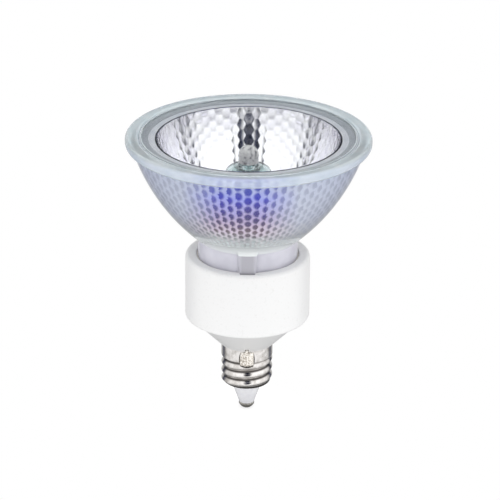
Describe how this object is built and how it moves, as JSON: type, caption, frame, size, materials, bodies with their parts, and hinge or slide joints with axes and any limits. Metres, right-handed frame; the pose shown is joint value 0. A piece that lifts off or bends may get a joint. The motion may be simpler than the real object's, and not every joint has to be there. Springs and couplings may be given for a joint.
{
  "type": "dichroic halogen reflector bulb",
  "caption": "Halogen spot bulb with a faceted glass reflector, flat front glass, quartz capsule, white ceramic base and a small threaded screw cap.",
  "frame": {"origin": "on the lamp's axis, at the upper edge of the screw shell, where the shell meets the ceramic", "axes": "+Z along the lamp's axis from the cap to the front glass, -Y towards the key rib and the soldered lead, +X to the right seen from that side"},
  "size_m": [0.05, 0.05, 0.0606],
  "materials": {
    "reflector_glass": "pressed glass with a dichroic mirror coating inside and a ground rim",
    "front_glass": "clear, polished",
    "silicone": "grey adhesive, pressed flat",
    "quartz": "clear, flame polished",
    "tungsten": "drawn wire",
    "molybdenum": "drawn and rolled",
    "cement": "matt, porous",
    "ceramic": "matt white steatite",
    "nickel_plate": "bright nickel on rolled brass",
    "insulator_ceramic": "smooth white",
    "contact_brass": "nickel plated",
    "solder": "frosted soft solder",
    "fuse_glass": "clear tube",
    "nickel_wire": "drawn wire",
    "fibre_sleeve": "braided glass fibre"
  },
  "bodies": {
    "root": {"reflector": "reflector_glass", "front_glass": "front_glass", "front_glass_seal": "silicone", "capsule_bulb": "quartz", "filament": "tungsten", "inner_lead_short": "molybdenum", "inner_lead_long": "molybdenum", "seal_foil_left": "molybdenum", "seal_foil_right": "molybdenum", "outer_lead_left": "molybdenum", "outer_lead_right": "molybdenum", "capsule_cement": "cement", "ceramic_base": "ceramic", "base_cement": "cement", "screw_shell": "nickel_plate", "insulator": "insulator_ceramic", "centre_contact": "contact_brass", "contact_solder": "solder", "fuse_tube": "fuse_glass", "fuse_link": "nickel_wire", "centre_wire": "nickel_wire", "shell_wire": "nickel_wire", "splice_sleeve": "contact_brass", "insulating_sleeve": "fibre_sleeve", "side_solder": "solder"}
  },
  "joints": []
}
